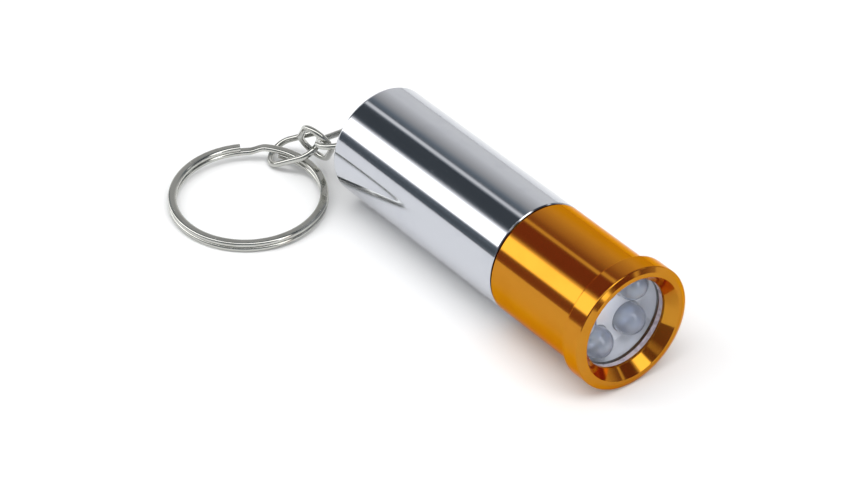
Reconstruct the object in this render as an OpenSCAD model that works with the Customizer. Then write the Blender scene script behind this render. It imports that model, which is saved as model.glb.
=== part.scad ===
// Keychain flashlight with a screw-down head, five lamps, four button cells, a short chain and a split ring.
// +X is the way the light shines and +Z is up. The origin is on the axis, at the middle of the barrel.

/* [Barrel] */
// Outside diameter of the barrel and of the head's sleeve
body_d = 18.5; // [18.2:0.1:24]
// Length of the barrel, from the tail face to the shoulder in front of the head
barrel_l = 39.1; // [33:0.1:60]
// Thickness of the barrel's tail wall
tail_wall = 3; // [2:0.1:4.5]
// Rounding of the barrel's tail edge
tail_edge_r = 0.5; // [0.2:0.1:0.9]
// Outside diameter of the barrel's threaded neck
neck_d = 16.4; // [16:0.1:16.6]
// Depth of the grooves of the neck's thread
thread_depth = 0.35; // [0.2:0.05:0.45]
// Pitch of the neck's thread, which is how far the head moves in one turn
thread_pitch = 1; // [0.75:0.05:1.1]
// Number of thread grooves on the neck
thread_turns = 4; // [3:1:4]

/* [Head] */
// Length of the head, from the barrel's shoulder to the front face
head_l = 22.1; // [21.9:0.1:30]
// How far the front flange stands out from the head's sleeve
flange_step = 1; // [0.5:0.05:2]
// Length of the front flange
flange_l = 3.95; // [3:0.05:4.5]
// Chamfer on the flange's rear rim
flange_chamfer = 0.35; // [0.1:0.05:0.4]
// Length of the bevel on the flange's front rim, along the axis
bevel_l = 0.45; // [0.2:0.05:1]
// Width of the bevel on the flange's front rim, across the axis
bevel_w = 0.85; // [0.4:0.05:0.9]
// Width of the flat rim between the bevel and the cone
rim_w = 0.7; // [0.3:0.05:0.8]
// Diameter of the opening that the light leaves through
opening_d = 14.8; // [14.4:0.1:15.4]
// Depth of the cone round the opening, from the front face
cone_depth = 1.8; // [1:0.1:2.2]
// Length of the straight lip that holds the lens
lip_l = 0.5; // [0.3:0.1:0.8]
// Gap between the barrel's shoulder and the head, with the light switched off
head_gap = 0.3; // [0.3:0.01:0.5]
// Turn that screws the head down and switches the light on, in degrees
switch_turn = 90; // [60:5:95]

/* [Light unit] */
// Thickness of the lens
lens_t = 0.8; // [0.6:0.1:1]
// Thickness of the black gasket behind the lens
gasket_t = 0.5; // [0.3:0.1:0.6]
// Inside diameter of the gasket
gasket_bore_d = 14.6; // [14.2:0.1:15.2]
// Diameter of each lamp
led_d = 5; // [4.1:0.1:5.1]
// Height of each lamp, from its base to the top of its dome
led_h = 8.6; // [7.1:0.1:9]
// Diameter of the circle that the lamps stand on
led_circle_d = 10.7; // [10.4:0.1:10.7]
// Angle of the first lamp round the axis, from +Y towards +Z
led_first_angle = 32.7; // [0:0.1:72]
// Thickness of the circuit board
board_t = 1.5; // [1:0.1:1.6]
// How far the lamps' domes stand out of the reflector's floor
dome_stand = 3.3; // [2.8:0.1:4]

/* [Power] */
// Diameter of one button cell
cell_d = 11.6; // [9.6:0.1:11.6]
// Height of one button cell
cell_h = 5.4; // [4.2:0.1:6.5]
// Wall of the battery sleeve
sleeve_wall = 0.6; // [0.5:0.05:0.6]
// Gap all round between the battery sleeve and the barrel's bore
sleeve_gap = 0.1; // [0.1:0.05:0.4]
// Length of the coned spring on the board
board_spring_l = 6; // [5:0.1:9]
// Diameter of the spring wire
spring_wire_d = 0.7; // [0.5:0.05:0.85]
// How far the tail spring lies inside the edge of the cap that it presses on
tail_spring_inset = 0.2; // [0.1:0.05:0.8]

/* [Chain and ring] */
// Diameter of the chain's wire and of the tail eye's loop
wire_d = 1; // [0.8:0.05:1.1]
// Outside length of one link
link_l = 10.6; // [10.5:0.1:10.8]
// Outside width of one link
link_w = 6.4; // [6.3:0.1:6.5]
// Inside diameter of the tail eye
eye_bore_d = 3; // [2.9:0.1:3.1]
// Diameter of the eye's shank, which turns in the tail wall
shank_d = 2; // [1.6:0.1:2.4]
// Outside diameter of the split ring
ring_d = 25; // [24.6:0.1:25.4]
// Width of the ring's flat wire, across the ring
ring_wire_w = 1.35; // [1.1:0.05:1.6]
// Thickness of the ring's flat wire
ring_wire_t = 0.85; // [0.7:0.05:0.9]

/* [Hidden] */
$fn = 96;

// Clearances: a running fit's gap on the radius, a loose gap, and a gap that only keeps two faces apart
run_gap = 0.07;
loose_gap = 0.1;
face_gap = 0.02;

// Stations along the axis
shoulder_x = barrel_l / 2;
tail_x = -barrel_l / 2;
tail_floor_x = tail_x + tail_wall;
front_x = shoulder_x + head_l;
head_back_x = shoulder_x + head_gap;
flange_x = front_x - flange_l;
lens_front_x = front_x - cone_depth - lip_l;
lens_back_x = lens_front_x - lens_t;
gasket_back_x = lens_back_x - gasket_t;
led_top_x = lens_back_x - 0.2;
board_front_x = led_top_x - led_h;
board_back_x = board_front_x - board_t;
// The neck's rim meets the board's edge pad when the head has made its switching turn
switch_travel = thread_pitch * switch_turn / 360;
neck_end_x = board_back_x - switch_travel - face_gap;

// The batteries
cell_count = 4;
battery_front_x = board_back_x - board_spring_l;
battery_l = cell_count * cell_h;
battery_back_x = battery_front_x - battery_l;
cell_cap_h = 0.8;
cell_cap_inset = 0.6;
cell_cap_d = cell_d - 2 * cell_cap_inset;
sleeve_short = 0.3;
// The sleeve fits round the cells, and the barrel's bore fits round the sleeve
sleeve_bore_d = cell_d + 2 * loose_gap;
sleeve_d = sleeve_bore_d + 2 * sleeve_wall;
barrel_bore_d = sleeve_d + 2 * sleeve_gap;

// The neck's thread and seal, inside the head's bore
head_bore_d = neck_d + 2 * loose_gap;
seal_d = 1;
seal_r = head_bore_d / 2 - 0.03 - seal_d / 2;
seal_x = shoulder_x + 1.6;
thread_x = seal_x + 1.4;
chamfer = 0.15;

// The light unit sits in the head's bore
led_count = 5;
unit_d = head_bore_d - 2 * loose_gap;
led_flange_d = led_d + 0.6;
led_flange_h = 1;
led_hole_d = led_d + 2 * loose_gap;
lead_d = 0.5;
lead_spacing = 2.54;
lead_tail = 0.5;
dish_rim_w = 0.35;
resistor_size = [0.5, 2, 1.25];

// The springs
spring_sides = 6;
board_spring_d = 7.4;
board_spring_tip_d = 4.4;
board_spring_turns = 3.5;
tail_spring_turns = 7;
tail_spring_d = cell_cap_d - 2 * tail_spring_inset;

// The tail eye: a shank through the tail wall, a collar outside it, and the loop
eye_r = (eye_bore_d + wire_d) / 2;
collar_t = 0.9;
collar_d = 2 * shank_d;
eye_sink = 0.12;
eye_x = tail_x - face_gap - collar_t + eye_sink - wire_d / 2 - eye_r;
eye_turn = 96;
retainer_t = 0.6;
retainer_d = 4.2;

// Where each link's middle lies from the middle of the tail face, and how it is turned
link_r = (link_w - wire_d) / 2;
link_straight = link_l - link_w;
tail_link_at = [-5.55, -2.65, -1.35];
tail_link_turn = [-162, -4, -90];
middle_link_at = [-9.5, -5.65, -3.35];
middle_link_turn = [-49, -48, -23];
ring_link_at = [-13.35, -7.05, -6];
ring_link_turn = [-166, -29, 29];

// The ring's lower face: its middle from the middle of the tail face, the slope of the surface that the light
// rests on, and the lean of the ring, which is propped up where it lies on the ring link
ring_at = [-9.2, -18.95, -8.45];
rest_slope = atan(flange_step / (flange_x - tail_x));
ring_lean = 2.9;
ring_lean_towards = 128;
// The wire makes two turns, clockwise from above, and climbs from the lower turn to the upper between its ends
ring_start_angle = 120;
ring_end_gap = 31;
ring_climb_start = 6;
ring_climb_end = 20;
ring_turn_gap = 0.03;
ring_step = 6;

// A turned piece: its outline is a list of [place along the axis, radius]
module turned(outline) {
    rotate([0, 90, 0]) rotate_extrude() polygon([for (p = outline) [p[1], p[0]]]);
}

// A round bar or bore along the axis, from x0 to x1
module bar(d, x0, x1) {
    translate([x0, 0, 0]) rotate([0, 90, 0]) cylinder(d = d, h = x1 - x0);
}

// Puts its children on the lamps' circle, at lamp i
module at_lamp(i, x) {
    translate([x, 0, 0]) rotate([led_first_angle + i * 360 / led_count, 0, 0])
        translate([0, led_circle_d / 2, 0]) children();
}

// One closed tube or bar swept through rings of points, all with the same number of points
module swept(rings) {
    sides = len(rings[0]);
    last = len(rings) - 1;
    walls = [
        for (i = [0 : last - 1]) for (j = [0 : sides - 1])
            let (k = (j + 1) % sides)
            [i * sides + j, i * sides + k, (i + 1) * sides + k, (i + 1) * sides + j]
    ];
    start = [for (j = [0 : sides - 1]) sides - 1 - j];
    end = [for (j = [0 : sides - 1]) last * sides + j];
    polyhedron([for (r = rings) for (p = r) p], concat([start], walls, [end]));
}

// A coiled spring round the X axis, from x0 to x1, whose wire's middle goes from radius r0 to radius r1
module coil(x0, x1, r0, r1, turns) {
    steps = ceil(turns * 16);
    wire_r = spring_wire_d / 2;
    swept([
        for (i = [0 : steps])
            let (t = i / steps, a = 360 * turns * t, r = r0 + (r1 - r0) * t)
            let (x = x0 + wire_r + (x1 - x0 - spring_wire_d) * t)
            [
                for (j = [0 : spring_sides - 1])
                    let (b = -360 * (j + 0.5) / spring_sides, out = r + wire_r * cos(b))
                    [x + wire_r * sin(b), out * cos(a), out * sin(a)]
            ]
    ]);
}

// One chain link of round wire, long along X and flat in XY
module link_shape() {
    for (side = [-1, 1]) {
        translate([side * link_straight / 2, 0, 0]) rotate([0, 0, side > 0 ? -90 : 90])
            rotate_extrude(angle = 180) translate([link_r, 0]) circle(d = wire_d);
        translate([-link_straight / 2, side * link_r, 0]) rotate([0, 90, 0])
            cylinder(d = wire_d, h = link_straight);
    }
}

// A link in its place, measured from the tail face
module placed_link(at, turn) {
    translate([tail_x, 0, 0] + at) rotate(turn) link_shape();
}

// How high the ring's wire has climbed, as a share of one turn's rise, after going round by the angle a
function climbed(a) =
    let (t = (a - (360 - ring_end_gap + ring_climb_start)) / (ring_climb_end - ring_climb_start))
    let (u = min(1, max(0, t)))
    u * u * (3 - 2 * u);

module barrel() {
    color("#d4d6da") difference() {
        rotate([0, 90, 0]) rotate_extrude() {
            translate([0, tail_x + tail_edge_r]) square([body_d / 2, barrel_l - tail_edge_r]);
            translate([0, tail_x]) square([body_d / 2 - tail_edge_r, 2 * tail_edge_r]);
            translate([body_d / 2 - tail_edge_r, tail_x + tail_edge_r]) circle(tail_edge_r);
        }
        bar(barrel_bore_d, tail_floor_x, shoulder_x + 1);
        bar(shank_d + 2 * run_gap, tail_x - 1, tail_floor_x + 1);
        turned([
            [shoulder_x - chamfer, body_d / 2],
            [shoulder_x + 1, body_d / 2 - chamfer - 1],
            [shoulder_x + 1, body_d / 2 + 1],
            [shoulder_x - chamfer, body_d / 2 + 1]
        ]);
    }
    color("#d4d6da") difference() {
        bar(neck_d, shoulder_x - 1, neck_end_x);
        bar(barrel_bore_d, shoulder_x - 2, neck_end_x + 1);
        turned([
            [seal_x - 0.6, seal_r - seal_d / 2],
            [seal_x + 0.6, seal_r - seal_d / 2],
            [seal_x + 0.6, neck_d],
            [seal_x - 0.6, neck_d]
        ]);
        for (i = [0 : thread_turns - 1])
            turned([
                [thread_x + (i + 0.1) * thread_pitch, neck_d / 2 + 0.01],
                [thread_x + (i + 0.5) * thread_pitch, neck_d / 2 - thread_depth],
                [thread_x + (i + 0.9) * thread_pitch, neck_d / 2 + 0.01]
            ]);
    }
}

module neck_seal() {
    color("#1c1c1e") translate([seal_x, 0, 0]) rotate([0, 90, 0]) rotate_extrude()
        translate([seal_r, 0]) circle(d = seal_d);
}

module tail_eye() {
    color("#c9c9c6") {
        bar(shank_d, tail_x - face_gap - collar_t, tail_floor_x + face_gap + retainer_t);
        bar(collar_d, tail_x - face_gap - collar_t, tail_x - face_gap);
        translate([eye_x, 0, 0]) rotate([eye_turn, 0, 0])
            rotate_extrude() translate([eye_r, 0]) circle(d = wire_d);
    }
}

module eye_retainer() {
    color("#b9b9b6") difference() {
        bar(retainer_d, tail_floor_x + face_gap, tail_floor_x + face_gap + retainer_t);
        bar(shank_d, tail_floor_x - 1, tail_floor_x + retainer_t + 1);
    }
}

module tail_spring() {
    color("#b4b4b0") coil(
        tail_floor_x, battery_back_x - face_gap,
        (tail_spring_d - spring_wire_d) / 2, (tail_spring_d - spring_wire_d) / 2, tail_spring_turns
    );
}

module battery_sleeve() {
    color("#e8e6de") difference() {
        bar(sleeve_d, battery_back_x + sleeve_short, battery_front_x - sleeve_short);
        bar(sleeve_bore_d, battery_back_x - 1, battery_front_x + 1);
    }
}

// A cell: the wide can, and the narrower cap at its rear end
module cell(i) {
    x0 = battery_front_x - i * cell_h;
    color("#c6c8cc") {
        bar(cell_d, x0 + cell_cap_h, x0 + cell_h);
        bar(cell_cap_d, x0, x0 + cell_h - cell_cap_h);
    }
}

module head_shell() {
    body_r = body_d / 2;
    flange_r = body_r + flange_step;
    color("#d8921e") turned([
        [head_back_x, head_bore_d / 2],
        [head_back_x, body_r - chamfer],
        [head_back_x + chamfer, body_r],
        [flange_x, body_r],
        [flange_x, flange_r - flange_chamfer],
        [flange_x + flange_chamfer, flange_r],
        [front_x - bevel_l, flange_r],
        [front_x, flange_r - bevel_w],
        [front_x, flange_r - bevel_w - rim_w],
        [front_x - cone_depth, opening_d / 2],
        [lens_front_x, opening_d / 2],
        [lens_front_x, head_bore_d / 2]
    ]);
}

module lens() {
    color("#dfe8ee", 0.4) bar(unit_d, lens_back_x, lens_front_x);
}

module lens_gasket() {
    color("#161618") difference() {
        bar(unit_d, gasket_back_x, lens_back_x);
        bar(gasket_bore_d, gasket_back_x - 1, lens_back_x + 1);
    }
}

module reflector() {
    floor_x = led_top_x - dome_stand;
    back_x = board_front_x + led_flange_h + face_gap;
    rim_r = unit_d / 2 - dish_rim_w;
    color("#cfd2d6") difference() {
        turned([
            [back_x, 0],
            [back_x, unit_d / 2],
            [gasket_back_x, unit_d / 2],
            [gasket_back_x, rim_r],
            [floor_x, rim_r - 0.6],
            [floor_x, 0]
        ]);
        for (i = [0 : led_count - 1])
            at_lamp(i, 0) bar(led_hole_d, back_x - 1, gasket_back_x + 1);
    }
}

module led(i) {
    color("#cdd6e6", 0.6) at_lamp(i - 1, board_front_x) {
        bar(led_flange_d, 0, led_flange_h);
        bar(led_d, 0, led_h - led_d / 2);
        translate([led_h - led_d / 2, 0, 0]) sphere(d = led_d);
    }
}

module led_leads() {
    color("#c4c4c0") for (i = [0 : led_count - 1]) at_lamp(i, 0)
        for (side = [-1, 1]) translate([0, 0, side * lead_spacing / 2])
            bar(lead_d, board_back_x - lead_tail, board_front_x);
}

module led_board() {
    color("#f0efe8") difference() {
        bar(unit_d, board_back_x, board_front_x);
        for (i = [0 : led_count - 1]) at_lamp(i, 0)
            for (side = [-1, 1]) translate([0, 0, side * lead_spacing / 2])
                bar(lead_d + 2 * loose_gap, board_back_x - 1, board_front_x + 1);
    }
}

module board_resistor() {
    color("#26262a") at_lamp(0.5, board_back_x - resistor_size[0] / 2) cube(resistor_size, center = true);
}

module board_spring() {
    color("#c9a24a") coil(
        battery_front_x + face_gap, board_back_x,
        (board_spring_tip_d - spring_wire_d) / 2, (board_spring_d - spring_wire_d) / 2, board_spring_turns
    );
}

module tail_link() {
    color("#c9c9c6") placed_link(tail_link_at, tail_link_turn);
}

module middle_link() {
    color("#bdbdba") placed_link(middle_link_at, middle_link_turn);
}

module ring_link() {
    color("#c9c9c6") placed_link(ring_link_at, ring_link_turn);
}

module split_ring() {
    outer_r = ring_d / 2;
    inner_r = outer_r - ring_wire_w;
    rise = ring_wire_t + ring_turn_gap;
    total = 720 - ring_end_gap;
    steps = ceil(total / ring_step);
    color("#c9c9c6") translate([tail_x, 0, 0] + ring_at) rotate([0, rest_slope, 0])
        rotate([0, 0, ring_lean_towards]) rotate([0, -ring_lean, 0]) rotate([0, 0, -ring_lean_towards])
        swept([
            for (i = [0 : steps])
                let (a = total * i / steps, b = ring_start_angle - a, z = rise * climbed(a))
                [
                    [inner_r * cos(b), inner_r * sin(b), z],
                    [inner_r * cos(b), inner_r * sin(b), z + ring_wire_t],
                    [outer_r * cos(b), outer_r * sin(b), z + ring_wire_t],
                    [outer_r * cos(b), outer_r * sin(b), z]
                ]
        ]);
}

barrel();
neck_seal();
tail_eye();
eye_retainer();
tail_spring();
battery_sleeve();
for (i = [1 : cell_count]) cell(i);
head_shell();
lens();
lens_gasket();
reflector();
for (i = [1 : led_count]) led(i);
led_leads();
led_board();
board_resistor();
board_spring();
tail_link();
middle_link();
ring_link();
split_ring();
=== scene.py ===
"""Keychain flashlight: the looks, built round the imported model.

Metres. +X is the way the light shines and +Z is up. Every piece rides the body of the node it belongs to."""

from math import atan, atan2, cos, pi, radians, sin, tan, tau

import bmesh
import bpy
from mathutils import Euler, Matrix, Vector


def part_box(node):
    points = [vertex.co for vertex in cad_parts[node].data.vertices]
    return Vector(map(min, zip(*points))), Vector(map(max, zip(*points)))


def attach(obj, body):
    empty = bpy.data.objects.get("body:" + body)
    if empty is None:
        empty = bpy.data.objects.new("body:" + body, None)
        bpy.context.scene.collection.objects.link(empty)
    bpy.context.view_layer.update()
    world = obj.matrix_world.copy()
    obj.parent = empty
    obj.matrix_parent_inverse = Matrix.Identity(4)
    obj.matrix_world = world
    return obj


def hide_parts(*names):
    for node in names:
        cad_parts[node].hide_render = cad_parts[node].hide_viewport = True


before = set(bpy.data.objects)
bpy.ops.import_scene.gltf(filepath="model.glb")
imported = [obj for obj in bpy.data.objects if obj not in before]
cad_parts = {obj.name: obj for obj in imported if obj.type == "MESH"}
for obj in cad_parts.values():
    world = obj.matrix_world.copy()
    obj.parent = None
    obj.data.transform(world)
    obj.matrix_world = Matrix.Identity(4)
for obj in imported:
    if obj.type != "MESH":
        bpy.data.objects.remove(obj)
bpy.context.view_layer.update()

MM = 0.001
# How finely a turned piece and a rounded corner are divided
SEGMENTS = 144
ARC_STEPS = 5
# How far outside an arc its holding points sit, as a share of its radius
HOLD = 0.1
SHARP_ANGLE = radians(32)

# ---------------------------------------------------------------- places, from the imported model

barrel_lo, barrel_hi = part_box("barrel")
head_lo, head_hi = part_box("head_shell")
body_r = 9.25 * MM
tail_x = barrel_lo.x
neck_end_x = barrel_hi.x
shoulder_x = -tail_x
flange_l = 3.95 * MM
flange_x = head_hi.x - flange_l
flange_r = head_hi.y
tail_centre = Vector((tail_x, 0, 0))
# The light lies on its flange and its tail edge, so the floor leans by this much against it
floor_slope = atan((flange_r - body_r) / (flange_x - tail_x))

# ---------------------------------------------------------------- camera, floor and studio light

AZIMUTH = radians(53.17)
ELEVATION = radians(36.34)
ROLL = radians(-0.754)
DISTANCE = 590.2 * MM
LENS = 167.8
AIM = Vector((7.15, -11.7, 1.7)) * MM
FLOOR_SIZE = 6
FLOOR_COLOUR = (0.86, 0.86, 0.86, 1)


def make_camera():
    back = Vector((sin(AZIMUTH) * cos(ELEVATION), -cos(AZIMUTH) * cos(ELEVATION), sin(ELEVATION)))
    level = Vector((0, 0, 1)).cross(back).normalized()
    upright = back.cross(level)
    right = level * cos(ROLL) + upright * sin(ROLL)
    up = back.cross(right)
    data = bpy.data.cameras.new("camera")
    data.lens = LENS
    data.clip_start = 0.01
    camera = bpy.data.objects.new("camera", data)
    turn = Matrix((right, up, back)).transposed().to_4x4()
    camera.matrix_world = Matrix.Translation(AIM + back * DISTANCE) @ turn
    bpy.context.scene.collection.objects.link(camera)
    bpy.context.scene.camera = camera


def make_floor():
    """A large pale sheet that touches the barrel's tail edge and the rear edge of the flange."""
    bpy.ops.mesh.primitive_grid_add(size=FLOOR_SIZE, x_subdivisions=2, y_subdivisions=2)
    floor = bpy.context.object
    floor.name = "floor"
    touch = Vector((tail_x, 0, -body_r))
    floor.matrix_world = Matrix.Translation(touch) @ Matrix.Rotation(floor_slope, 4, "Y")
    paper = bpy.data.materials.new("floor_paper")
    paper.use_nodes = True
    shader = paper.node_tree.nodes["Principled BSDF"]
    shader.inputs["Base Color"].default_value = FLOOR_COLOUR
    shader.inputs["Roughness"].default_value = 0.9
    shader.inputs["Specular IOR Level"].default_value = 0.1
    floor.data.materials.append(paper)


# The studio round the light: each card's place and its brightness. Places are degrees round the X axis,
# from +Y towards +Z.
STUDIO = (
    # the broad soft card on the far side, fading upwards
    (0, 0.70), (14, 0.80), (35, 0.78), (50, 0.59), (64, 0.40), (74, 0.21), (82, 0.13),
    # a thin strip, then the dark flag overhead
    (84.8, 0.85), (88.3, 0.85), (91, 0.15), (94, 0.07), (119, 0.07),
    # the key card
    (122.5, 0.12), (125.5, 0.45), (128.8, 1.2), (131.8, 2.7), (157.2, 2.7), (159.3, 0.9), (161.5, 0.17),
    # a second strip, level with the part on the near side
    (170, 0.1), (177, 0.13), (181, 0.45), (186, 0.45), (200, 0.1),
    # the fill that comes up from below
    (245, 0.15), (300, 0.4), (340, 0.6)
)
# The cards lean: their places shift by STUDIO_LEAN degrees per unit of a direction's X, and by nothing
# where that X is STUDIO_STRAIGHT_AT
STUDIO_LEAN = 49
STUDIO_STRAIGHT_AT = -0.645
STUDIO_STRENGTH = 1.1
# Cards darker than this are a little colder
DARK_CARD = 0.3
DARK_CARD_COLD = 0.14
SKY = (0.90, 0.91, 0.93, 1)


def make_world():
    """Soft cards and flags that light the part and show in its metal, behind a plain pale backdrop."""
    world = bpy.data.worlds.new("studio")
    bpy.context.scene.world = world
    world.use_nodes = True
    tree = world.node_tree
    tree.nodes.clear()
    add = tree.nodes.new
    link = tree.links.new

    def compute(operation, *values):
        node = add("ShaderNodeMath")
        node.operation = operation
        for value, socket in zip(values, node.inputs):
            if hasattr(value, "is_output"):
                link(value, socket)
            else:
                socket.default_value = value
        return node.outputs[0]

    place = add("ShaderNodeTexCoord")
    split = add("ShaderNodeSeparateXYZ")
    link(place.outputs["Generated"], split.inputs[0])
    share = compute("DIVIDE", compute("ARCTAN2", split.outputs["Z"], split.outputs["Y"]), tau)
    straight = -STUDIO_STRAIGHT_AT * STUDIO_LEAN / 360
    lean = compute("MULTIPLY_ADD", split.outputs["X"], STUDIO_LEAN / 360, straight)
    cards = add("ShaderNodeValToRGB")
    link(compute("FRACT", compute("ADD", share, lean)), cards.inputs[0])
    brightest = max(level for _, level in STUDIO)
    ramp = cards.color_ramp
    while len(ramp.elements) > 1:
        ramp.elements.remove(ramp.elements[-1])
    for i, (angle, level) in enumerate(STUDIO):
        stop = ramp.elements[0] if i == 0 else ramp.elements.new(angle / 360)
        stop.position = angle / 360
        cold = DARK_CARD_COLD if level < DARK_CARD else 0
        stop.color = [level * tone / brightest for tone in (1 - cold, 1, 1 + cold)] + [1]
    lit = add("ShaderNodeBackground")
    link(cards.outputs[0], lit.inputs["Color"])
    lit.inputs["Strength"].default_value = brightest * STUDIO_STRENGTH
    plain = add("ShaderNodeBackground")
    plain.inputs["Color"].default_value = SKY
    seen = add("ShaderNodeLightPath")
    mix = add("ShaderNodeMixShader")
    link(seen.outputs["Is Camera Ray"], mix.inputs[0])
    link(lit.outputs[0], mix.inputs[1])
    link(plain.outputs[0], mix.inputs[2])
    out = add("ShaderNodeOutputWorld")
    link(mix.outputs[0], out.inputs["Surface"])


def make_softbox(name, place, size, watts):
    """A square lamp that faces the light and stays out of its reflections."""
    data = bpy.data.lights.new(name, "AREA")
    data.size = size
    data.energy = watts
    lamp = bpy.data.objects.new(name, data)
    place = Vector(place)
    lamp.matrix_world = Matrix.Translation(place) @ place.to_track_quat("Z", "Y").to_matrix().to_4x4()
    lamp.visible_glossy = False
    lamp.visible_transmission = False
    bpy.context.scene.collection.objects.link(lamp)


make_camera()
make_floor()
make_world()
make_softbox("overhead", place=(0.1, -0.05, 1.3), size=1.6, watts=9.5)
make_softbox("front_fill", place=(1.0, -0.5, 0.6), size=0.8, watts=3)
bpy.context.scene.view_settings.view_transform = "Standard"

# ---------------------------------------------------------------- materials

LOOKS = {}
# The part of a noise's run that its patterns use
NOISE_LOW, NOISE_HIGH = 0.3, 0.7


class Look:
    """One node material, named after its slot or its piece. Its patterns lie in the part's own frame."""

    def __init__(self, slot, **sockets):
        self.material = bpy.data.materials.new(slot)
        self.material.use_nodes = True
        self.tree = self.material.node_tree
        self.shader = self.tree.nodes["Principled BSDF"]
        for name, value in sockets.items():
            self.shader.inputs[name.replace("_", " ")].default_value = value
        LOOKS[slot] = self.material

    def add(self, kind, **values):
        node = self.tree.nodes.new("ShaderNode" + kind)
        for name, value in values.items():
            if hasattr(value, "is_output"):
                self.tree.links.new(value, node.inputs[name])
            elif name in node.inputs:
                node.inputs[name].default_value = value
            else:
                setattr(node, name, value)
        return node

    def noise(self, grain, detail=4.0, roughness=0.55):
        """Noise with this many waves per metre along X, Y and Z."""
        place = self.add("TexCoord").outputs["Object"]
        scaled = self.add("Mapping", Vector=place, Scale=grain).outputs[0]
        return self.add("TexNoise", Vector=scaled, Scale=1.0, Detail=detail, Roughness=roughness).outputs[0]

    def spread(self, value, low, high, start=NOISE_LOW, end=NOISE_HIGH):
        """Maps value between start and end to low and high."""
        node = self.add("MapRange", Value=value)
        for name, number in (("From Min", start), ("From Max", end), ("To Min", low), ("To Max", high)):
            node.inputs[name].default_value = number
        return node.outputs[0]

    def tint(self, value, first, second, start=NOISE_LOW, end=NOISE_HIGH):
        """A smooth run from the first colour to the second as value goes from start to end."""
        node = self.add("ValToRGB", Fac=value)
        ramp = node.color_ramp
        for stop, place, colour in zip(ramp.elements, (start, end), (first, second)):
            stop.position = place
            stop.color = (*colour, 1)
        return node.outputs[0]

    def feed(self, **sockets):
        for name, value in sockets.items():
            self.tree.links.new(value, self.shader.inputs[name.replace("_", " ")])

    def relief(self, height, depth):
        node = self.add("Bump", Height=height, Strength=1.0, Distance=depth)
        self.feed(Normal=node.outputs[0])


def metal(slot, colour, worn, gloss, grain, depth, metallic=1.0, specks=0.0, **sockets):
    """Metal with fine lines along its grain, a slightly uneven colour, and specks of wear.

    gloss is the least and the most roughness, and specks is how much rougher a speck is."""
    look = Look(slot, Metallic=metallic, **sockets)
    lines = look.noise(grain, detail=5)
    cloud = look.noise((180, 260, 260), detail=3)
    look.feed(Base_Color=look.tint(cloud, worn, colour, start=0.25, end=0.5))
    rough = look.spread(lines, *gloss)
    if specks:
        pits = look.noise((900, 2600, 2600), detail=2)
        spots = look.spread(pits, 0, specks, start=0.66, end=0.74)
        both = look.add("Math", operation="ADD")
        look.tree.links.new(rough, both.inputs[0])
        look.tree.links.new(spots, both.inputs[1])
        rough = both.outputs[0]
    look.feed(Roughness=rough)
    look.relief(lines, depth)


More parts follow.
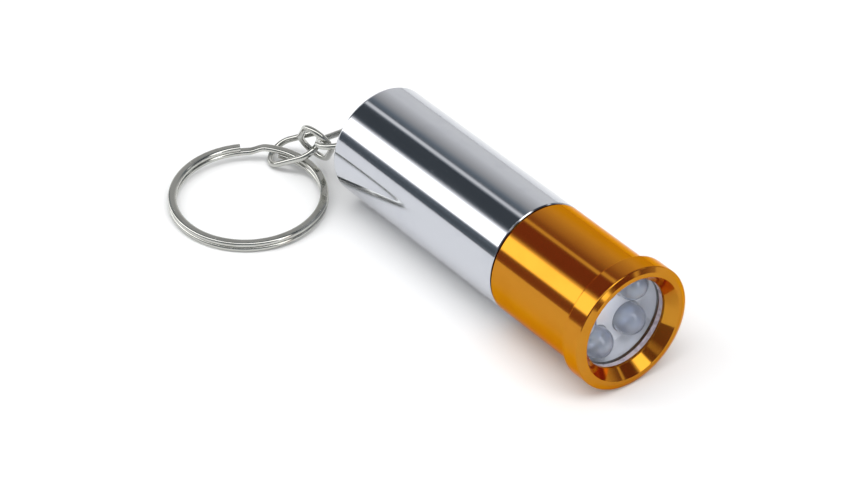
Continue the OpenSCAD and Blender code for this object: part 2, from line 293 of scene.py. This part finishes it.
def make_looks():
    lengthwise = (60, 1500, 1500)
    all_round = (1200, 1200, 1200)
    nickel, dull_nickel = (0.52, 0.52, 0.49), (0.40, 0.40, 0.37)
    # The dye in the anodised skin, which turns grazing light red
    dye = {
        "Sheen_Weight": 0.22,
        "Sheen_Roughness": 1.0,
        "Sheen_Tint": (1.0, 0.05, 0.02, 1),
        "Specular_Tint": (1.0, 0.72, 0.35, 1)
    }
    gold, dull_gold = (0.45, 0.225, 0.021), (0.42, 0.205, 0.018)
    chrome, dull_chrome = (0.95, 0.95, 0.96), (0.91, 0.91, 0.92)
    metal("silver", (0.545, 0.56, 0.60), (0.51, 0.525, 0.57), (0.05, 0.11), lengthwise, 1.2e-6, specks=0.08)
    metal("gold_anodised", gold, dull_gold, (0.06, 0.11), lengthwise, 1.2e-6, **dye)
    metal("steel_wire", nickel, dull_nickel, (0.05, 0.14), all_round, 2e-6, specks=0.2)
    metal("ring_steel", nickel, dull_nickel, (0.06, 0.15), all_round, 2e-6, specks=0.2)
    metal("spring_steel", (0.50, 0.49, 0.47), (0.38, 0.37, 0.35), (0.18, 0.32), all_round, 3e-6)
    metal("gold_plated_spring", (0.80, 0.56, 0.22), (0.66, 0.44, 0.16), (0.15, 0.28), all_round, 3e-6)
    metal("cell_steel", (0.66, 0.67, 0.68), (0.55, 0.56, 0.57), (0.12, 0.24), all_round, 2e-6)
    metal("reflector_chrome", chrome, dull_chrome, (0.14, 0.20), all_round, 3e-7, metallic=0.2)
    metal("tinned_copper", (0.70, 0.69, 0.66), (0.58, 0.55, 0.50), (0.20, 0.40), all_round, 3e-6)

    rubber = Look("seal_rubber", Specular_IOR_Level=0.45)
    mottle = rubber.noise((1400, 1400, 1400), detail=6)
    rubber.feed(Base_Color=rubber.tint(mottle, (0.008, 0.008, 0.009), (0.022, 0.022, 0.024)))
    rubber.feed(Roughness=rubber.spread(mottle, 0.30, 0.55))
    rubber.relief(mottle, 6e-6)

    sleeve = Look("sleeve_plastic", Specular_IOR_Level=0.5)
    mottle = sleeve.noise((300, 900, 900))
    sleeve.feed(Base_Color=sleeve.tint(mottle, (0.66, 0.63, 0.56), (0.80, 0.78, 0.71)))
    sleeve.feed(Roughness=sleeve.spread(mottle, 0.32, 0.50))
    sleeve.relief(mottle, 8e-6)

    board = Look("board_laminate", Specular_IOR_Level=0.5)
    weave = board.noise((400, 3000, 700), detail=2)
    board.feed(Base_Color=board.tint(weave, (0.60, 0.60, 0.56), (0.80, 0.80, 0.76)))
    board.feed(Roughness=board.spread(weave, 0.35, 0.5))
    board.relief(weave, 4e-6)

    ceramic = Look("resistor_ceramic", Specular_IOR_Level=0.5)
    mottle = ceramic.noise((2500, 2500, 2500))
    ceramic.feed(Base_Color=ceramic.tint(mottle, (0.012, 0.012, 0.014), (0.045, 0.045, 0.05)))
    ceramic.feed(Roughness=ceramic.spread(mottle, 0.35, 0.6))
    ceramic.relief(mottle, 4e-6)

    epoxy = Look("led_epoxy", IOR=1.5, Transmission_Weight=0.66, Coat_Weight=1.0, Coat_Roughness=0.02)
    haze = epoxy.noise((420, 420, 420), detail=5)
    epoxy.feed(Base_Color=epoxy.tint(haze, (0.64, 0.74, 1.0), (0.90, 0.96, 1.0)))
    epoxy.feed(Roughness=epoxy.spread(haze, 0.0, 0.05))
    epoxy.relief(haze, 1e-6)

    cup = Look("lamp_cup", Metallic=0.3, Roughness=0.35)
    grains = cup.noise((3000, 3000, 3000))
    cup.feed(Base_Color=cup.tint(grains, (0.90, 0.92, 0.96), (0.98, 0.98, 1.0)))

    frost = Look("frosted_edge", Transmission_Weight=0.2)
    haze = frost.noise((700, 700, 700))
    frost.feed(Base_Color=frost.tint(haze, (0.70, 0.62, 0.70), (0.92, 0.88, 0.94)))
    frost.feed(Roughness=frost.spread(haze, 0.2, 0.4))

    phosphor = Look("phosphor", Specular_IOR_Level=0.3)
    grains = phosphor.noise((6000, 6000, 6000))
    phosphor.feed(Base_Color=phosphor.tint(grains, (0.94, 0.92, 0.70), (1.0, 0.99, 0.90)))
    phosphor.feed(Roughness=phosphor.spread(grains, 0.5, 0.7))

    make_lens_look()


def make_lens_look():
    """Thin clear plastic: see-through, with a mirror-like share that grows towards grazing angles."""
    look = Look("clear_lens")
    tree = look.tree
    smears = look.noise((260, 260, 260), detail=5)
    clear = look.add("BsdfTransparent", Color=(0.955, 0.965, 0.985, 1))
    gloss = look.add("BsdfGlossy", Color=(1, 1, 1, 1), Roughness=look.spread(smears, 0.02, 0.10))
    grazing = look.add("Fresnel", IOR=1.45).outputs[0]
    behind = look.add("NewGeometry").outputs["Backfacing"]
    share = look.add("MapRange", Value=behind)
    share.inputs["To Max"].default_value = 0
    tree.links.new(grazing, share.inputs["To Min"])
    mix = look.add("MixShader")
    tree.links.new(share.outputs[0], mix.inputs[0])
    tree.links.new(clear.outputs[0], mix.inputs[1])
    tree.links.new(gloss.outputs[0], mix.inputs[2])
    tree.nodes.remove(look.shader)
    out = next(n for n in tree.nodes if n.type == "OUTPUT_MATERIAL")
    tree.links.new(mix.outputs[0], out.inputs["Surface"])


make_looks()

# ---------------------------------------------------------------- shapes
# turned, swept and block return a closed shape as (points, faces); the others return an outline or a profile.


def rounded(outline):
    """The points of a closed outline: a corner (x, r, radius) becomes an arc, and (x, r) stays sharp.

    A point just outside each end of an arc holds the flats' shading flat."""
    points = []
    for i, corner in enumerate(outline):
        here = Vector(corner[:2])
        if len(corner) == 2:
            points.append(here)
            continue
        radius = corner[2]
        back = (Vector(outline[i - 1][:2]) - here).normalized()
        ahead = (Vector(outline[(i + 1) % len(outline)][:2]) - here).normalized()
        half = back.angle(ahead) / 2
        centre = here + (back + ahead).normalized() * radius / sin(half)
        start = (here + back * radius / tan(half) - centre).normalized()
        end = (here + ahead * radius / tan(half) - centre).normalized()
        points.append(centre + (start + back * HOLD) * radius)
        for k in range(ARC_STEPS + 1):
            points.append(centre + start.lerp(end, k / ARC_STEPS).normalized() * radius)
        points.append(centre + (end + ahead * HOLD) * radius)
    return points


def turned(outline, radius_at=None, at=Matrix(), segments=SEGMENTS):
    """A closed outline of (place along X, radius) turned round the X axis.

    radius_at(x, r, angle) may reshape it."""
    profile = rounded(outline)
    points = []
    for j in range(segments):
        a = tau * j / segments
        for x, r in profile:
            if radius_at:
                r = radius_at(x, r, a)
            points.append(at @ Vector((x, r * cos(a), r * sin(a))))
    n = len(profile)
    faces = []
    for j in range(segments):
        this, following = j * n, (j + 1) % segments * n
        for i in range(n):
            k = (i + 1) % n
            faces.append((this + i, this + k, following + k, following + i))
    return points, faces


def swept(stations, profile, closed=False):
    """A profile of (side, up) points carried through stations of (place, side, up)."""
    points = [place + side * a + up * b for place, side, up in stations for a, b in profile]
    n = len(profile)
    faces = []
    count = len(stations)
    for i in range(count if closed else count - 1):
        this, following = i * n, (i + 1) % count * n
        for j in range(n):
            k = (j + 1) % n
            faces.append((this + j, this + k, following + k, following + j))
    if not closed:
        faces.append(tuple(reversed(range(n))))
        faces.append(tuple((count - 1) * n + j for j in range(n)))
    return points, faces


def tube(back, front, inner, outer, edge):
    """The outline of a plain ring between two places along X and two radii, with all four corners rounded."""
    return [(back, inner, edge), (back, outer, edge), (front, outer, edge), (front, inner, edge)]


def disc_profile(diameter, sides=20):
    return [(diameter / 2 * cos(tau * i / sides), diameter / 2 * sin(tau * i / sides)) for i in range(sides)]


def block(centre, size, axes=Matrix.Identity(3)):
    """A box, with sharp edges. make() can bevel them."""
    points = []
    for x in (-0.5, 0.5):
        for y in (-0.5, 0.5):
            for z in (-0.5, 0.5):
                points.append(centre + axes @ Vector((x * size[0], y * size[1], z * size[2])))
    faces = [(0, 1, 3, 2), (4, 6, 7, 5), (0, 4, 5, 1), (2, 3, 7, 6), (0, 2, 6, 4), (1, 5, 7, 3)]
    return points, faces


def make(name, slot, body, *shapes, replaces=None, bevel=0.0, look=None):
    """One piece from one or more closed shapes, with its look, its body and the CAD node it stands for."""
    work = bmesh.new()
    for points, faces in shapes:
        corners = [work.verts.new(p) for p in points]
        for face in faces:
            work.faces.new([corners[i] for i in face])
    bmesh.ops.remove_doubles(work, verts=work.verts, dist=1e-8)
    if bevel:
        bmesh.ops.bevel(work, geom=work.edges[:], offset=bevel, segments=3, profile=0.5, affect="EDGES")
    bmesh.ops.recalc_face_normals(work, faces=work.faces)
    mesh = bpy.data.meshes.new(name)
    work.to_mesh(mesh)
    work.free()
    mesh.materials.append(LOOKS[look or slot])
    mesh.shade_smooth()
    mesh.set_sharp_from_angle(angle=SHARP_ANGLE)
    piece = bpy.data.objects.new(name, mesh)
    bpy.context.scene.collection.objects.link(piece)
    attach(piece, body)
    if replaces:
        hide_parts(replaces)


def finish_node(node, slot):
    """A CAD node whose shape stays: it only gets its look."""
    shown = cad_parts[node]
    shown.data.materials.clear()
    shown.data.materials.append(LOOKS[slot])


# ---------------------------------------------------------------- barrel and its seal

NECK_R = 8.2 * MM
BORE_R = 6.6 * MM
SHANK_HOLE_R = 1.07 * MM
TAIL_WALL = 3 * MM
TAIL_ROUND = 0.5 * MM
END_CHAMFER = 0.15 * MM
THREAD_DEPTH = 0.35 * MM
THREAD_PITCH = 1 * MM
THREAD_TURNS = 4
THREAD_STEPS = 14
THREAD_FADE = 0.5
THREAD_NARROWING = 1.4
seal_lo, seal_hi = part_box("neck_seal")
seal_x = (seal_lo.x + seal_hi.x) / 2
seal_wire_r = (seal_hi.x - seal_lo.x) / 2
groove_r = seal_hi.y - 2 * seal_wire_r
groove_half = 0.6 * MM
thread_x = seal_x + 1.4 * MM
thread_end_x = thread_x + THREAD_TURNS * THREAD_PITCH


def neck_radius(x, r, angle):
    """Cuts the neck's helical thread: a rounded V that fades in and out over THREAD_FADE of a turn."""
    if r < NECK_R - 0.01 * MM or not thread_x <= x <= thread_end_x:
        return r
    phase = ((x - thread_x) / THREAD_PITCH - angle / tau) % 1
    fade = min(1, min(x - thread_x, thread_end_x - x) / THREAD_PITCH / THREAD_FADE)
    return r - THREAD_DEPTH * fade * (0.5 - 0.5 * cos(tau * phase)) ** THREAD_NARROWING


def make_barrel():
    steps = THREAD_TURNS * THREAD_STEPS
    thread = [(thread_x + (thread_end_x - thread_x) * i / steps, NECK_R) for i in range(steps + 1)]
    outline = [
        (tail_x, SHANK_HOLE_R, 0.1 * MM),
        (tail_x, body_r, TAIL_ROUND),
        (shoulder_x - END_CHAMFER, body_r, 0.03 * MM),
        (shoulder_x, body_r - END_CHAMFER, 0.03 * MM),
        (shoulder_x, NECK_R, 0.08 * MM),
        (seal_x - groove_half, NECK_R, 0.05 * MM),
        (seal_x - groove_half, groove_r),
        (seal_x + groove_half, groove_r),
        (seal_x + groove_half, NECK_R, 0.05 * MM),
        *thread,
        (neck_end_x, NECK_R, 0.12 * MM),
        (neck_end_x, BORE_R, 0.12 * MM),
        (tail_x + TAIL_WALL, BORE_R),
        (tail_x + TAIL_WALL, SHANK_HOLE_R)
    ]
    make("barrel_turned", "silver", "barrel", turned(outline, neck_radius), replaces="barrel")


def make_seal():
    ring_r = seal_hi.y - seal_wire_r
    ring = [(seal_x + a, ring_r + b) for a, b in disc_profile(2 * seal_wire_r, 24)]
    make("neck_seal_ring", "seal_rubber", "barrel", turned(ring), replaces="neck_seal")


# ---------------------------------------------------------------- head: shell, lens, gasket and reflector

HEAD_BORE_R = 8.3 * MM
OPENING_R = 7.4 * MM
FLANGE_CHAMFER = 0.35 * MM
BEVEL_L = 0.45 * MM
BEVEL_W = 0.85 * MM
RIM_W = 0.7 * MM
CONE_DEPTH = 1.8 * MM
GASKET_BORE_R = 7.3 * MM
CLEAR_R = 7.42 * MM
LENS_ROUND = 0.03 * MM
GASKET_ROUND = 0.12 * MM
lens_lo, lens_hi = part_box("lens")
gasket_lo, gasket_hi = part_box("lens_gasket")


def make_head():
    back_x, front_x = head_lo.x, head_hi.x
    rim_r = flange_r - BEVEL_W
    outline = [
        (back_x, HEAD_BORE_R, 0.05 * MM),
        (back_x, body_r - END_CHAMFER, 0.03 * MM),
        (back_x + END_CHAMFER, body_r, 0.05 * MM),
        (flange_x, body_r, 0.06 * MM),
        (flange_x, flange_r - FLANGE_CHAMFER, 0.05 * MM),
        (flange_x + FLANGE_CHAMFER, flange_r, 0.08 * MM),
        (front_x - BEVEL_L, flange_r, 0.2 * MM),
        (front_x, rim_r, 0.12 * MM),
        (front_x, rim_r - RIM_W, 0.12 * MM),
        (front_x - CONE_DEPTH, OPENING_R, 0.06 * MM),
        (lens_hi.x, OPENING_R, 0.04 * MM),
        (lens_hi.x, HEAD_BORE_R)
    ]
    make("head_shell_turned", "gold_anodised", "head", turned(outline), replaces="head_shell")


def make_lens():
    """The lens as a clear middle and a frosted edge, and the gasket behind it."""
    back, front = lens_lo.x, lens_hi.x
    outline = [(back, 0), (back, CLEAR_R, LENS_ROUND), (front, CLEAR_R, LENS_ROUND), (front, 0)]
    make("lens_disc", "clear_lens", "head", turned(outline), replaces="lens")
    outline = tube(back, front, CLEAR_R, lens_hi.y, LENS_ROUND)
    make("lens_frosted_edge", "clear_lens", "head", turned(outline), look="frosted_edge")
    outline = tube(gasket_lo.x, gasket_hi.x, GASKET_BORE_R, gasket_hi.y, GASKET_ROUND)
    make("lens_gasket_ring", "seal_rubber", "head", turned(outline), replaces="lens_gasket")


# ---------------------------------------------------------------- lamps, board and contacts

LED_COUNT = 5
LED_BASE_H = 1 * MM
LED_BASE_W = 0.3 * MM
DOME_STEPS = 24
CUP_DEPTH = 1.1 * MM
CUP_STEPS = 32
POST_D = 0.5 * MM
LEAD_HALF_SPACING = 1.27 * MM
SOLDER_STEPS = 24
PAD_T = 0.012 * MM
PAD_EDGE = 0.2 * MM
RESISTOR = Vector((0.5, 2, 1.25)) * MM
CAP_SHARE = 0.14
board_lo, board_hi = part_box("led_board")


def lamp_place(node):
    """The lamp's frame, at its base and with Y away from the middle, its height and its base's radius."""
    lo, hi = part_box(node)
    y, z = (lo.y + hi.y) / 2, (lo.z + hi.z) / 2
    at = Matrix.Translation((lo.x, y, z)) @ Matrix.Rotation(atan2(z, y), 4, "X")
    return at, hi.x - lo.x, (hi.y - lo.y) / 2


def make_lamp(i):
    """The clear body, with its cup, its two posts and the chip inside."""
    node = f"led_{i}"
    at, height, base_r = lamp_place(node)
    r = base_r - LED_BASE_W
    dome = []
    for k in range(DOME_STEPS):
        a = pi / 2 * k / DOME_STEPS
        dome.append((height - r + r * sin(a), r * cos(a)))
    base = [(0, 0), (0, base_r, 0.1 * MM), (LED_BASE_H, base_r, 0.1 * MM), (LED_BASE_H, r)]
    outline = [*base, *dome, (height, 0)]
    make(f"lamp_{i}", "led_epoxy", "head", turned(outline, at=at, segments=64), replaces=node)
    cup_x = height - r - CUP_DEPTH
    cup = [
        (cup_x - 1.5 * MM, 0),
        (cup_x - 1.5 * MM, 0.35 * MM),
        (cup_x - 0.5 * MM, 0.7 * MM, 0.1 * MM),
        (cup_x + 0.4 * MM, 1.0 * MM, 0.03 * MM),
        (cup_x + 0.4 * MM, 0.92 * MM, 0.03 * MM),
        (cup_x, 0.5 * MM),
        (cup_x, 0)
    ]
    posts = []
    across = at.to_3x3() @ Vector((0, 1, 0))
    upright = at.to_3x3() @ Vector((0, 0, 1))
    # One post ends under the cup, and the other beside it
    for side, top_z in ((-1, -0.25 * MM), (1, 0.95 * MM)):
        foot = Vector((0.4 * MM, 0, side * LEAD_HALF_SPACING))
        knee = Vector((cup_x - 2.2 * MM, 0, side * LEAD_HALF_SPACING))
        top = Vector((cup_x - 1.2 * MM, 0, top_z))
        stations = [(at @ point, across, upright) for point in (foot, knee, top)]
        posts.append(swept(stations, disc_profile(POST_D, 12)))
    make(f"lamp_cup_{i}", "tinned_copper", "head", turned(cup, at=at, segments=CUP_STEPS), look="lamp_cup")
    make(f"lamp_frame_{i}", "tinned_copper", "head", *posts)
    chip = [
        (cup_x + 0.02 * MM, 0),
        (cup_x + 0.02 * MM, 0.48 * MM),
        (cup_x + 0.24 * MM, 0.7 * MM),
        (cup_x + 0.3 * MM, 0)
    ]
    make(f"lamp_chip_{i}", "led_epoxy", "head", turned(chip, at=at, segments=CUP_STEPS), look="phosphor")


def make_board():
    finish_node("led_board", "board_laminate")
    finish_node("led_leads", "tinned_copper")
    finish_node("reflector", "reflector_chrome")
    back = board_lo.x
    pad_r = board_hi.y - PAD_EDGE
    edge_pad = [(back - PAD_T, BORE_R), (back - PAD_T, pad_r), (back, pad_r), (back, BORE_R)]
    make("board_edge_pad", "tinned_copper", "head", turned(edge_pad))
    make_solder()
    make_resistor()


def make_solder():
    """A cone of solder round each lead, on the back of the board."""
    cone = [
        (0, 0.26 * MM),
        (0, 0.62 * MM),
        (-0.12 * MM, 0.45 * MM),
        (-0.25 * MM, 0.32 * MM),
        (-0.42 * MM, 0.26 * MM)
    ]
    joints = []
    for i in range(1, LED_COUNT + 1):
        at, _, _ = lamp_place(f"led_{i}")
        for side in (-1, 1):
            foot = at @ Matrix.Translation((board_lo.x - board_hi.x, 0, side * LEAD_HALF_SPACING))
            joints.append(turned(cone, at=foot, segments=SOLDER_STEPS))
    make("solder_joints", "tinned_copper", "head", *joints)


def make_resistor():
    """The chip resistor, as a dark body between two tinned caps that are a hair smaller."""
    lo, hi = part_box("board_resistor")
    middle = (lo + hi) / 2
    axes = Matrix.Rotation(atan2(middle.z, middle.y), 3, "X")
    size = RESISTOR
    bevel = 0.04 * MM
    body = block(middle, (size.x, size.y * 0.76, size.z), axes)
    make("resistor_body", "resistor_ceramic", "head", body, replaces="board_resistor", bevel=bevel)
    cap = (size.x * 0.98, size.y * CAP_SHARE, size.z * 0.98)
    cap_y = size.y * (1 - CAP_SHARE) / 2
    caps = [block(middle + axes @ Vector((0, side * cap_y, 0)), cap, axes) for side in (-1, 1)]
    make("resistor_caps", "tinned_copper", "head", *caps, bevel=bevel)


# ---------------------------------------------------------------- batteries and springs

SPRING_WIRE = 0.7 * MM
SPRING_STEPS = 40
DEAD_TURN = 0.75
TAIL_SPRING_TURNS = 7
BOARD_SPRING_TURNS = 3.5
BOARD_SPRING_TIP_D = 4.4 * MM
BOARD_SPRING_FOOT_D = 7.4 * MM
CELL_COUNT = 4
CELL_CAP_H = 0.8 * MM
SLEEVE_WALL = 0.6 * MM
SLEEVE_ROUND = 0.2 * MM


def coil(x0, x1, r0, r1, turns):
    """A coiled spring round the X axis between x0 and x1, whose ends lie flat over DEAD_TURN of a turn."""
    steps = round(turns * SPRING_STEPS)
    stations = []
    for i in range(steps + 1):
        done = turns * i / steps
        t = min(1, max(0, (done - DEAD_TURN) / (turns - 2 * DEAD_TURN)))
        x = x0 + SPRING_WIRE / 2 + (x1 - x0 - SPRING_WIRE) * t
        r = r0 + (r1 - r0) * i / steps
        out = Vector((0, cos(tau * done), sin(tau * done)))
        stations.append((Vector((x, 0, 0)) + out * r, out, Vector((1, 0, 0))))
    return swept(stations, disc_profile(SPRING_WIRE, 14))


def make_springs():
    lo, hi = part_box("tail_spring")
    r = hi.y - SPRING_WIRE / 2
    spring = coil(lo.x, hi.x, r, r, TAIL_SPRING_TURNS)
    make("tail_spring_coil", "spring_steel", "barrel", spring, replaces="tail_spring")
    lo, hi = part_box("board_spring")
    tip_r = (BOARD_SPRING_TIP_D - SPRING_WIRE) / 2
    foot_r = (BOARD_SPRING_FOOT_D - SPRING_WIRE) / 2
    spring = coil(lo.x, hi.x, tip_r, foot_r, BOARD_SPRING_TURNS)
    make("board_spring_coil", "gold_plated_spring", "head", spring, replaces="board_spring")


def make_cell(i):
    """A button cell: the small cap and its insulating step face the tail, and the can faces the head."""
    node = f"cell_{i}"
    lo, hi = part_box(node)
    r = hi.y
    can_x = lo.x + CELL_CAP_H
    outline = [
        (lo.x, 0),
        (lo.x, r - 1.1 * MM, 0.35 * MM),
        (can_x - 0.1 * MM, r - 0.75 * MM),
        (can_x - 0.1 * MM, r - 0.6 * MM),
        (can_x, r - 0.55 * MM, 0.05 * MM),
        (can_x, r - 0.1 * MM, 0.1 * MM),
        (can_x + 0.5 * MM, r),
        (hi.x, r, 0.4 * MM),
        (hi.x, r - 1.6 * MM, 0.05 * MM),
        (hi.x - 0.06 * MM, r - 1.75 * MM, 0.05 * MM),
        (hi.x - 0.06 * MM, 0)
    ]
    make(f"button_{node}", "cell_steel", "battery_pack", turned(outline, segments=96), replaces=node)


def make_sleeve():
    lo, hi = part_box("battery_sleeve")
    outline = tube(lo.x, hi.x, hi.y - SLEEVE_WALL, hi.y, SLEEVE_ROUND)
    make("battery_sleeve_tube", "sleeve_plastic", "battery_pack", turned(outline), replaces="battery_sleeve")


# ---------------------------------------------------------------- tail eye, chain and split ring

WIRE = 1 * MM
EYE_BORE = 3 * MM
EYE_TURN = radians(96)
EYE_STEPS = 72
EYE_SINK = 0.12 * MM
COLLAR_GAP = 0.02 * MM
COLLAR_T = 0.9 * MM
COLLAR_R = 2 * MM
SHANK_R = 1 * MM
LINK_STEPS = 24
LINK_JOINT = 0.04 * MM
LINK_L = 10.6 * MM
LINK_W = 6.4 * MM
# Each link's middle, in millimetres from the middle of the tail face, and its turns about X, Y and Z in
# degrees
LINKS = {
    "tail_link": ((-5.55, -2.65, -1.35), (-162, -4, -90)),
    "middle_link": ((-9.5, -5.65, -3.35), (-49, -48, -23)),
    "ring_link": ((-13.35, -7.05, -6), (-166, -29, 29))
}
RING_AT = Vector((-9.2, -18.95, -8.45)) * MM
RING_D = 25 * MM
RING_WIRE_W = 1.35 * MM
RING_WIRE_T = 0.85 * MM
RING_LEAN = radians(2.9)
RING_LEAN_TOWARDS = radians(128)
# In degrees round the ring: where the wire starts, the gap between its ends, and the climb past its start
RING_START = 120
RING_END_GAP = 31
RING_CLIMB = (6, 20)
RING_TURN_GAP = 0.03 * MM
RING_ROUND = 0.38 * MM
RING_STEPS = 340


def make_eye():
    """The swivel eye, in one piece with its collar and shank, and the washer that holds it."""
    retainer_lo, retainer_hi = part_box("eye_retainer")
    front_x = tail_x - COLLAR_GAP
    back_x = front_x - COLLAR_T
    outline = [
        (back_x, 0),
        (back_x, COLLAR_R, 0.25 * MM),
        (front_x, COLLAR_R, 0.1 * MM),
        (front_x, SHANK_R),
        (retainer_hi.x, SHANK_R, 0.3 * MM),
        (retainer_hi.x, 0)
    ]
    loop_r = (EYE_BORE + WIRE) / 2
    eye_x = back_x + EYE_SINK - WIRE / 2 - loop_r
    turn = Matrix.Rotation(EYE_TURN, 3, "X")
    stations = []
    for i in range(EYE_STEPS):
        a = tau * i / EYE_STEPS
        out = turn @ Vector((cos(a), sin(a), 0))
        stations.append((Vector((eye_x, 0, 0)) + out * loop_r, out, turn @ Vector((0, 0, 1))))
    loop = swept(stations, disc_profile(WIRE), closed=True)
    make("swivel_eye", "steel_wire", "tail_eye", turned(outline, segments=64), loop, replaces="tail_eye")
    outline = [
        (retainer_lo.x, SHANK_R, 0.04 * MM),
        (retainer_lo.x, retainer_hi.y, 0.1 * MM),
        (retainer_hi.x, retainer_hi.y, 0.1 * MM),
        (retainer_hi.x, SHANK_R, 0.04 * MM)
    ]
    make("retainer_washer", "steel_wire", "tail_eye", turned(outline, segments=64), replaces="eye_retainer")


def make_link(node):
    """A closed oval of round wire, with the fine butt joint where its ends meet in one long side."""
    at, turns = LINKS[node]
    spin = Euler([radians(a) for a in turns]).to_matrix()
    place = Matrix.Translation(tail_centre + Vector(at) * MM) @ spin.to_4x4()
    up = spin @ Vector((0, 0, 1))
    bend_r = (LINK_W - WIRE) / 2
    half = (LINK_L - LINK_W) / 2
    cut = LINK_JOINT / 2
    stations = [(Vector((cut, -bend_r, 0)), Vector((0, -1, 0)))]
    for end, first in ((half, -90), (-half, 90)):
        for k in range(LINK_STEPS + 1):
            a = radians(first + 180 * k / LINK_STEPS)
            out = Vector((cos(a), sin(a), 0))
            stations.append((Vector((end, 0, 0)) + out * bend_r, out))
    stations.append((Vector((-cut, -bend_r, 0)), Vector((0, -1, 0))))
    wire = swept([(place @ p, spin @ out, up) for p, out in stations], disc_profile(WIRE, 24))
    make(f"{node}_wire", "steel_wire", node, wire, replaces=node)


def ring_climbed(a):
    """How far the wire has climbed from the lower turn to the upper, after going round by a degrees."""
    t = (a - (360 - RING_END_GAP + RING_CLIMB[0])) / (RING_CLIMB[1] - RING_CLIMB[0])
    t = min(1, max(0, t))
    return t * t * (3 - 2 * t)


def make_ring():
    """The split ring: two turns of flat wire, with the climb from the lower to the upper beside its ends."""
    lean = Matrix.Rotation(RING_LEAN_TOWARDS, 4, "Z") @ Matrix.Rotation(-RING_LEAN, 4, "Y")
    lean = lean @ Matrix.Rotation(-RING_LEAN_TOWARDS, 4, "Z")
    place = Matrix.Translation(tail_centre + RING_AT) @ Matrix.Rotation(floor_slope, 4, "Y") @ lean
    spin = place.to_3x3()
    middle_r = (RING_D - RING_WIRE_W) / 2
    w, t = RING_WIRE_W / 2, RING_WIRE_T / 2
    corners = ((-w, -t), (w, -t), (w, t), (-w, t))
    profile = [tuple(p) for p in rounded([(*corner, RING_ROUND) for corner in corners])]
    total = 720 - RING_END_GAP
    up = spin @ Vector((0, 0, 1))
    stations = []
    for i in range(RING_STEPS + 1):
        a = total * i / RING_STEPS
        b = radians(RING_START - a)
        out = Vector((cos(b), sin(b), 0))
        height = (RING_WIRE_T + RING_TURN_GAP) * ring_climbed(a) + t
        stations.append((place @ (out * middle_r + Vector((0, 0, height))), spin @ out, up))
    make("split_ring_wire", "ring_steel", "split_ring", swept(stations, profile), replaces="split_ring")


make_barrel()
make_seal()
make_head()
make_lens()
for lamp in range(1, LED_COUNT + 1):
    make_lamp(lamp)
make_board()
make_springs()
for cell in range(1, CELL_COUNT + 1):
    make_cell(cell)
make_sleeve()
make_eye()
for link_node in LINKS:
    make_link(link_node)
make_ring()
